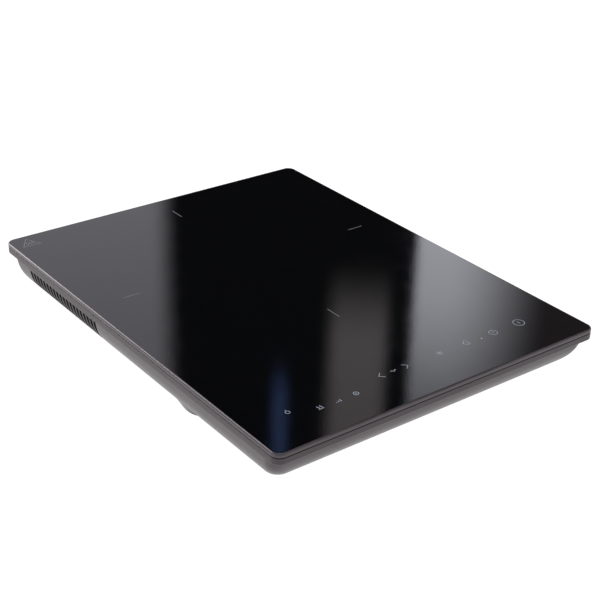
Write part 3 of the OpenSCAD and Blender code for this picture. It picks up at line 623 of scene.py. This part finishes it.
def keep_warm_mark(x, y, half=2.2, drop=1.6, apart=1.2, lift=0.6):
    strokes = [([(x - half, y - drop), (x + half, y - drop)], False)]
    for side in (-apart, apart):
        strokes += wave_mark(x + side, y + lift, length=2.8, height=0.35, turns=1, upright=True)
    return strokes


def bars_mark(x, y, pitch=1.8, drop=2.0, lift=0.2, climb=0.5):
    """Three upright bars, each taller than the last."""
    return [([(x + step, y - drop), (x + step, y - lift + step * climb)], False)
            for step in (-pitch, 0, pitch)]


def dial_mark(x, y, radius=1.8, half=0.7):
    return [(circle(x, y, radius), True), ([(x - half, y), (x + half, y)], False)]


def strokes_piece(name, strokes, width, mat):
    """Printed strokes that stand half proud of the black top."""
    bm = bmesh.new()
    for points, closed in strokes:
        ribbon(bm, [(px * MM, py * MM) for px, py in points], width * MM, TOP_Z - PRINT_THICKNESS,
               TOP_Z + PRINT_THICKNESS, closed)
    piece(name, mesh_from(name, bm), [mat])


def touch_marks():
    """The row of keys along the front edge."""
    strokes = wave_mark(SLIDER_X, KEY_ROW, length=4.6, height=0.7)
    strokes += chevron(KEY_X["less"], KEY_ROW, 1) + chevron(KEY_X["more"], KEY_ROW, -1)
    for key, draw in (("lock", lock_mark), ("star", asterisk), ("boost", boost_mark),
                      ("timer", timer_mark), ("power", power_mark)):
        strokes += draw(KEY_X[key], KEY_ROW)
    strokes_piece("touch_marks", strokes, STROKE, PRINT)


def level_marks():
    """Three small marks in front of the keys, and the dot beside the timer."""
    strokes = [(circle(*DOT, DOT_RADIUS, steps=16), True)]
    for level, draw in (("keep_warm", keep_warm_mark), ("bars", bars_mark), ("dial", dial_mark)):
        strokes += draw(LEVEL_X[level], LIGHT_ROW)
    strokes_piece("level_marks", strokes, FINE_STROKE, PRINT)


def hot_surface_mark():
    """A plain triangle round three waves, at the back left corner."""
    strokes = [(TRIANGLE, True)]
    for x in TRIANGLE_WAVES:
        strokes += wave_mark(x, TRIANGLE_WAVE_Y, length=5.2, height=0.5, turns=1.25, upright=True)
    strokes_piece("hot_surface_mark", strokes, FINE_STROKE, PRINT_FAINT)


def zone_ticks():
    """Four short ticks round the cooking zone, over the coil."""
    strokes = []
    for quarter in range(4):
        a = math.radians(90 * quarter)
        strokes.append(([(r * math.cos(a), COIL_Y + r * math.sin(a))
                         for r in (TICK_INNER, TICK_OUTER)], False))
    strokes_piece("zone_ticks", strokes, FINE_STROKE, PRINT_FAINT)


touch_marks()
level_marks()
hot_surface_mark()
zone_ticks()


# ---------------------------------------------------------------- rubber feet

AXIS = 0.01              # radius of the small flats at a turned shape's axis, in mm
PAD_TOP = 1.2
PAD_FLARE = 0.72         # how far the sole lies inside the pad's widest part
GROOVES = (6.5, 11.5)
GROOVE_DEPTH = 0.5
GROOVE_WIDTH = 1.7
GROOVE_SLOPE = 0.3
STEM_RADIUS = 3.0
STEM_CHAMFER = 0.4


def foot_pad(node_name):
    """A pad with a soft edge and two ring grooves in its sole, on its push-in stem."""
    low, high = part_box(node_name)
    centre = ((low[0] + high[0]) / 2, (low[1] + high[1]) / 2)
    widest = (high[0] - low[0]) / 2 / MM
    stem_top = high[2] / MM
    sole = widest - PAD_FLARE
    profile = [(AXIS, 0)]
    for r in GROOVES:
        profile += [(r, 0), (r + GROOVE_SLOPE, GROOVE_DEPTH),
                    (r + GROOVE_WIDTH - GROOVE_SLOPE, GROOVE_DEPTH), (r + GROOVE_WIDTH, 0)]
    profile += [(sole - 0.5, 0), (sole - 0.15, 0.12), (sole, 0.45), (widest - 0.05, PAD_TOP),
                (STEM_RADIUS, PAD_TOP), (STEM_RADIUS, stem_top - STEM_CHAMFER),
                (STEM_RADIUS - STEM_CHAMFER, stem_top), (AXIS, stem_top)]
    profile = [(r * MM, z * MM) for r, z in profile]
    bm = bmesh.new()
    lathe(bm, profile, centre)
    name = node_name.replace("foot", "pad")
    piece(name, mesh_from(name, bm), [SLOT_MATERIALS["foot_rubber"]],
          stands_for=[node_name])


for node_name in ("foot_front_left", "foot_front_right", "foot_back_left", "foot_back_right"):
    foot_pad(node_name)


# ---------------------------------------------------------------- coil and springs

COIL_INNER = 25.7 * MM
COIL_PITCH = 3.2 * MM
COIL_START = 60          # where the first turn starts, in degrees before the right side
COIL_STEPS = 56
LEAD_SHARE = 0.92        # the drawn lead is a little thinner than the CAD's, so the turns lie apart
CAD_SPRING_RADIUS = 4 * MM
SPRING_STEPS = 28
FLAT_TURNS = 0.8


def coil_spiral():
    """One continuous lead wound flat, in place of the CAD's rings."""
    wire = (COIL_HIGH[2] - COIL_LOW[2]) / 2
    outer = (COIL_HIGH[0] - COIL_LOW[0]) / 2 - wire
    turns = (outer - COIL_INNER) / COIL_PITCH
    steps = int(turns * COIL_STEPS)
    path = []
    for i in range(steps + 1):
        a = math.tau * turns * i / steps - math.radians(COIL_START)
        r = COIL_INNER + (outer - COIL_INNER) * i / steps
        path.append((r * math.cos(a), COIL_Y * MM + r * math.sin(a), COIL_LOW[2] + wire))
    bm = bmesh.new()
    sweep(bm, path, wire * LEAD_SHARE, sides=10)
    piece("coil_spiral", mesh_from("coil_spiral", bm), [LITZ],
          stands_for=["induction_coil"])


def helix(bm, centre, z0, z1, radius, top_radius, wire, turns):
    """A spring between two heights whose end turns lie flat."""
    steps = int(turns * SPRING_STEPS)
    path = []
    for i in range(steps + 1):
        f = i / steps
        climb = min(1.0, max(0.0, (f * turns - FLAT_TURNS) / (turns - 2 * FLAT_TURNS)))
        r = radius + (top_radius - radius) * f
        a = math.tau * turns * f
        path.append((centre[0] + r * math.cos(a), centre[1] + r * math.sin(a),
                     z0 + wire + (z1 - z0 - 2 * wire) * climb))
    sweep(bm, path, wire, sides=8)


def contact_springs():
    """One spring under each key, wider at the glass. The last stands just inside the board's end."""
    low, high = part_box("touch_springs")
    foot_radius, glass_radius = 2.4 * MM, 3.6 * MM
    row = (low[1] + high[1]) / 2
    last = high[0] - CAD_SPRING_RADIUS
    bm = bmesh.new()
    for x in KEY_X.values():
        place = (min(x * MM, last), row)
        helix(bm, place, low[2], high[2], foot_radius, glass_radius, wire=0.3 * MM, turns=5)
    piece("contact_springs", mesh_from("contact_springs", bm), [SLOT_MATERIALS["spring_steel"]],
          stands_for=["touch_springs"])


def sensor_coil():
    """The spring that presses the temperature sensor to the glass."""
    low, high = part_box("sensor_spring")
    centre = ((low[0] + high[0]) / 2, (low[1] + high[1]) / 2)
    radius = 4.5 * MM
    bm = bmesh.new()
    helix(bm, centre, low[2], high[2], radius, radius, wire=0.5 * MM, turns=6)
    piece("sensor_coil", mesh_from("sensor_coil", bm), [SLOT_MATERIALS["spring_steel"]],
          stands_for=["sensor_spring"])


coil_spiral()
contact_springs()
sensor_coil()


# ---------------------------------------------------------------- small parts on the boards

PLASTIC, METAL = 0, 1        # places in the material list of the chips' piece
CHIP_GAP = 0.15 * MM
CHIP_CHAMFER = 0.2 * MM
LEG_REACH = 1.1 * MM
LEG_THICKNESS = 0.18 * MM
LEG_ROW = 0.9                # share of a chip's side that its legs take up
LEG_WIDTH = 0.42             # share of the legs' pitch
LEG_HEIGHT = 0.45            # share of the chip's height at which they leave it
CHIP_ROW = -137 * MM
RESISTORS = 9
FIRST_RESISTOR = -24 * MM
RESISTOR_PITCH = 4.2 * MM

# Legs of each part that is soldered through the power board
LEGS = {"resonant_capacitor": 2, "filter_capacitor": 2, "suppression_capacitor": 2, "fuse": 2,
        "varistor": 2, "supply_transformer": 4, "igbt": 3, "bridge_rectifier": 4,
        "electrolytic_capacitors": 4, "buzzer": 2, "line_choke": 4, "ribbon_sockets": 6,
        "fan_connector": 2}
UPRIGHT = ("igbt", "bridge_rectifier")       # clamped upright, with the legs along the front face
LEG_INSET = 0.6 * MM
BOARD_MARGIN = 1.5 * MM
SOLDER_CONE = ((1.1, 0), (0.95, -0.2), (0.5, -0.7), (0.35, -1.3), (0.02, -1.4))     # radius, height


def chamfered_box(bm, low, size, chamfer, material=PLASTIC):
    """A moulded body whose top edges lean in by the chamfer."""
    x0, y0, z0 = low
    x1, y1, z1 = (a + b for a, b in zip(low, size))
    rings = []
    for inset, z in ((0, z0), (0, z1 - chamfer), (chamfer, z1)):
        rings.append([(x0 + inset, y0 + inset, z), (x1 - inset, y0 + inset, z),
                      (x1 - inset, y1 - inset, z), (x0 + inset, y1 - inset, z)])
    cap(bm, skin(bm, rings, material=lambda i: material), material)


def bent_leg(bm, start, out, reach, width, drop):
    """A flat metal leg that leaves a chip's side, drops and turns out again."""
    side = Vector((-out[1], out[0], 0)) * width / 2
    ahead = Vector((out[0], out[1], 0))
    thickness = Vector((0, 0, LEG_THICKNESS))
    path = [(0, 0), (reach * 0.4, 0), (reach * 0.55, -drop), (reach, -drop)]
    rings = []
    for along, down in path:
        p = Vector(start) + ahead * along + Vector((0, 0, down))
        rings.append([p - side, p + side, p + side + thickness, p - side + thickness])
    cap(bm, skin(bm, rings, material=lambda i: METAL), METAL)


def flat_chip(bm, x, y, z, width, depth, height, legs, sides):
    """A chip that stands a little off the board on a row of legs along each of its sides."""
    low = (x - width / 2, y - depth / 2, z + CHIP_GAP)
    chamfered_box(bm, low, (width, depth, height), CHIP_CHAMFER)
    for out in sides:
        half = width / 2 if out[0] else depth / 2
        span = depth if out[0] else width
        for i in range(legs):
            along = span * ((i + 0.5) / legs - 0.5) * LEG_ROW
            start = (x + out[0] * half - out[1] * along, y + out[1] * half + out[0] * along,
                     z + height * LEG_HEIGHT)
            bent_leg(bm, start, out, LEG_REACH, span / legs * LEG_WIDTH, height * LEG_HEIGHT)


def chip_resistor(bm, x, y, z, length=1.7, cap_length=0.35, depth=0.8, height=0.45, chamfer=0.06):
    """A dark block between two soldered end caps, centred on x and y; sizes in mm."""
    block = length - 2 * cap_length
    for material, start, width in ((PLASTIC, -block / 2, block), (METAL, -length / 2, cap_length),
                                   (METAL, block / 2, cap_length)):
        chamfered_box(bm, (x + start * MM, y - depth / 2 * MM, z),
                      (width * MM, depth * MM, height * MM), chamfer * MM, material)


def control_chips():
    """Touch controller, lamp driver and a row of chip resistors on the control board."""
    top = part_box("control_board")[1][2]
    front_back = ((0, 1), (0, -1))
    all_sides = ((1, 0), (-1, 0)) + front_back
    bm = bmesh.new()
    flat_chip(bm, 36 * MM, CHIP_ROW, top, 6.6 * MM, 6.6 * MM, 1.1 * MM, 8, all_sides)
    flat_chip(bm, -44 * MM, CHIP_ROW, top, 9.6 * MM, 3.8 * MM, 1.2 * MM, 8, front_back)
    for i in range(RESISTORS):
        chip_resistor(bm, FIRST_RESISTOR + RESISTOR_PITCH * i, CHIP_ROW, top)
    piece("control_chips", mesh_from("control_chips", bm, smooth_angle=30),
          [SLOT_MATERIALS["chip_black"], SOLDER])


def solder_joints():
    """Solder cones under the power board, one for each leg that comes through."""
    board_low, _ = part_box("power_board")
    cone = [(r * MM, board_low[2] + z * MM) for r, z in SOLDER_CONE]
    bm = bmesh.new()
    for name, count in LEGS.items():
        low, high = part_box(name)
        row = low[1] + LEG_INSET if name in UPRIGHT else (low[1] + high[1]) / 2
        row = max(row, board_low[1] + BOARD_MARGIN)
        for i in range(count):
            lathe(bm, cone, (low[0] + (high[0] - low[0]) * (i + 0.5) / count, row), steps=16)
    piece("solder_joints", mesh_from("solder_joints", bm, smooth_angle=60), [SOLDER])


control_chips()
solder_joints()


# ---------------------------------------------------------------- stage, light and camera

def lamp(name, size, energy, location):
    """A soft rectangular light, in metres and watts, aimed at the object."""
    data = bpy.data.lights.new(name, "AREA")
    data.shape = "RECTANGLE"
    data.size, data.size_y = size
    data.energy = energy
    obj = bpy.data.objects.new(name, data)
    bpy.context.scene.collection.objects.link(obj)
    obj.location = location
    obj.rotation_euler = (-Vector(location)).to_track_quat("-Z", "Y").to_euler()


ROOM_GLOW = 0.010
DOME_RADIUS = 40
FLOOR_HALF = 9
FLOOR_Z = -0.0002

# Lit parts of the room: heading and elevation, each as low end, its softness, high end and its
# softness in degrees, and the colour of the light
ROOM_PATCHES = [
    ((-8, 6.0, 30.9, 0.7), (8, 4, 60, 4), (0.88, 0.86, 0.94)),
    ((36.3, 0.25, 37.0, 0.25), (31.5, 1.2, 40, 1.5), (0.15, 0.25, 0.62)),
    ((39.2, 0.5, 42.0, 0.4), (28, 2.0, 40, 2.0), (0.60, 0.55, 0.56)),
    ((43.3, 0.25, 47.3, 2.6), (16, 4.0, 31.5, 5.0), (2.35, 2.38, 2.60)),
    ((47, 1.5, 56, 4.0), (14, 5.0, 36, 4.0), (0.085, 0.068, 0.072)),
    ((55, 5.0, 80, 6.0), (4, 4, 24, 8.0), (0.22, 0.22, 0.24)),
    ((-34, 6, -9, 4), (-2, 4, 54, 8), (7.8, 7.1, 7.4)),
    ((-110, 12, -40, 6), (-4, 12, 40, 12), (0.60, 0.60, 0.63)),
    ((-170, 10, -120, 10), (0, 12, 50, 12), (0.35, 0.35, 0.38)),
    ((95, 12, 170, 8), (0, 10, 34, 10), (0.80, 0.76, 0.82)),
    ((-60, 30, 60, 30), (66, 8, 84, 4), (0.30, 0.30, 0.32)),
]


def window(tree, value, low, low_soft, high, high_soft):
    """1 between low and high degrees, fading to 0 across each end by its softness."""
    parts = []
    for centre, soft, start, end in ((low, low_soft, 0, 1), (high, high_soft, 1, 0)):
        edge = tree.nodes.new("ShaderNodeMapRange")
        edge.interpolation_type = "SMOOTHSTEP"
        edge.inputs["From Min"].default_value = math.radians(centre - soft)
        edge.inputs["From Max"].default_value = math.radians(centre + soft)
        edge.inputs["To Min"].default_value = start
        edge.inputs["To Max"].default_value = end
        tree.links.new(value, edge.inputs["Value"])
        parts.append(edge.outputs["Result"])
    return maths(tree, "MULTIPLY", *parts)


def room_material():
    """What the gloss reflects: a dim room with soft bright parts."""
    mat = bpy.data.materials.new("room")
    mat.use_nodes = True
    tree = mat.node_tree
    tree.nodes.clear()
    out = tree.nodes.new("ShaderNodeOutputMaterial")
    glow = tree.nodes.new("ShaderNodeEmission")
    coords = tree.nodes.new("ShaderNodeTexCoord")
    unit = tree.nodes.new("ShaderNodeVectorMath")
    unit.operation = "NORMALIZE"
    axes = tree.nodes.new("ShaderNodeSeparateXYZ")
    tree.links.new(coords.outputs["Object"], unit.inputs[0])
    tree.links.new(unit.outputs["Vector"], axes.inputs["Vector"])
    heading = maths(tree, "ARCTAN2", axes.outputs["X"], axes.outputs["Y"])
    elevation = maths(tree, "ARCSINE", axes.outputs["Z"])
    total = None
    for across, up, colour in ROOM_PATCHES:
        mask = maths(tree, "MULTIPLY", window(tree, heading, *across), window(tree, elevation, *up))
        lit = tree.nodes.new("ShaderNodeVectorMath")
        lit.operation = "SCALE"
        lit.inputs[0].default_value = colour
        tree.links.new(mask, lit.inputs["Scale"])
        add = tree.nodes.new("ShaderNodeVectorMath")
        add.operation = "ADD"
        add.inputs[1].default_value = (ROOM_GLOW, ROOM_GLOW, ROOM_GLOW)
        tree.links.new(lit.outputs["Vector"], add.inputs[0])
        if total is not None:
            tree.links.new(total, add.inputs[1])
        total = add.outputs["Vector"]
    tree.links.new(total, glow.inputs["Color"])
    tree.links.new(glow.outputs["Emission"], out.inputs["Surface"])
    return mat


def reflection_dome():
    """A far dome that only glossy reflections see."""
    bm = bmesh.new()
    bmesh.ops.create_icosphere(bm, subdivisions=5, radius=1.0)
    mesh = bpy.data.meshes.new("reflection_dome")
    bm.to_mesh(mesh)
    bm.free()
    obj = bpy.data.objects.new("reflection_dome", mesh)
    bpy.context.scene.collection.objects.link(obj)
    obj.scale = (DOME_RADIUS, DOME_RADIUS, DOME_RADIUS)
    mesh.materials.append(room_material())
    for flag in ("visible_camera", "visible_diffuse", "visible_shadow", "visible_transmission",
                 "visible_volume_scatter"):
        setattr(obj, flag, False)


def light_table():
    """A white surface that glows, so that it stays white round the object, and is clear from below."""
    mat, tree, bsdf = shader("light_table")
    tree.links.new(remap(tree, noise(tree, 200), 0.85, 0.95), bsdf.inputs["Roughness"])
    tree.links.new(blend_colours(tree, noise(tree, 60), (0.05, 0.05, 0.05), (0.06, 0.06, 0.06)),
                   bsdf.inputs["Base Color"])
    bsdf.inputs["Emission Color"].default_value = (1, 1, 1, 1)
    bsdf.inputs["Emission Strength"].default_value = 1.0
    side = tree.nodes.new("ShaderNodeNewGeometry")
    clear = tree.nodes.new("ShaderNodeBsdfTransparent")
    mix = tree.nodes.new("ShaderNodeMixShader")
    tree.links.new(side.outputs["Backfacing"], mix.inputs["Fac"])
    tree.links.new(bsdf.outputs["BSDF"], mix.inputs[1])
    tree.links.new(clear.outputs["BSDF"], mix.inputs[2])
    tree.links.new(mix.outputs["Shader"], tree.nodes["Material Output"].inputs["Surface"])
    return mat


def floor():
    """The white surface that the feet stand on."""
    bm = bmesh.new()
    bmesh.ops.create_grid(bm, x_segments=8, y_segments=8, size=FLOOR_HALF)
    mesh = bpy.data.meshes.new("floor")
    bm.to_mesh(mesh)
    bm.free()
    obj = bpy.data.objects.new("floor", mesh)
    bpy.context.scene.collection.objects.link(obj)
    obj.location.z = FLOOR_Z
    mesh.materials.append(light_table())


def white_world():
    world = bpy.data.worlds.new("studio")
    bpy.context.scene.world = world
    world.use_nodes = True
    back = world.node_tree.nodes["Background"]
    back.inputs["Color"].default_value = (1, 1, 1, 1)
    back.inputs["Strength"].default_value = 1.0


def camera():
    """Stands back from the aim, against the heading and pitch, and rolls about its own axis."""
    data = bpy.data.cameras.new("camera")
    data.lens = CAMERA_LENS
    data.sensor_width = CAMERA_SENSOR
    data.clip_start = 0.01
    obj = bpy.data.objects.new("camera", data)
    bpy.context.scene.collection.objects.link(obj)
    heading, pitch, roll = (math.radians(v) for v in (CAMERA_HEADING, CAMERA_PITCH, CAMERA_ROLL))
    aim = Vector((CAMERA_AIM[0], CAMERA_AIM[1], GLASS_HIGH[2]))
    ahead = Vector((math.sin(heading) * math.cos(pitch), math.cos(heading) * math.cos(pitch),
                    -math.sin(pitch)))
    obj.location = aim - ahead * CAMERA_DISTANCE
    turn = ahead.to_track_quat("-Z", "Y").to_matrix()
    obj.rotation_euler = (turn @ Matrix.Rotation(roll, 3, "Z")).to_euler()
    bpy.context.scene.camera = obj


floor()
white_world()
lamp("left_panel", (1.6, 1.0), 6, (-1.9, 0.3, 0.9))
lamp("overhead_panel", (1.4, 1.4), 10, (0.2, -0.3, 2.2))
reflection_dome()
camera()
bpy.context.scene.view_settings.view_transform = "Standard"
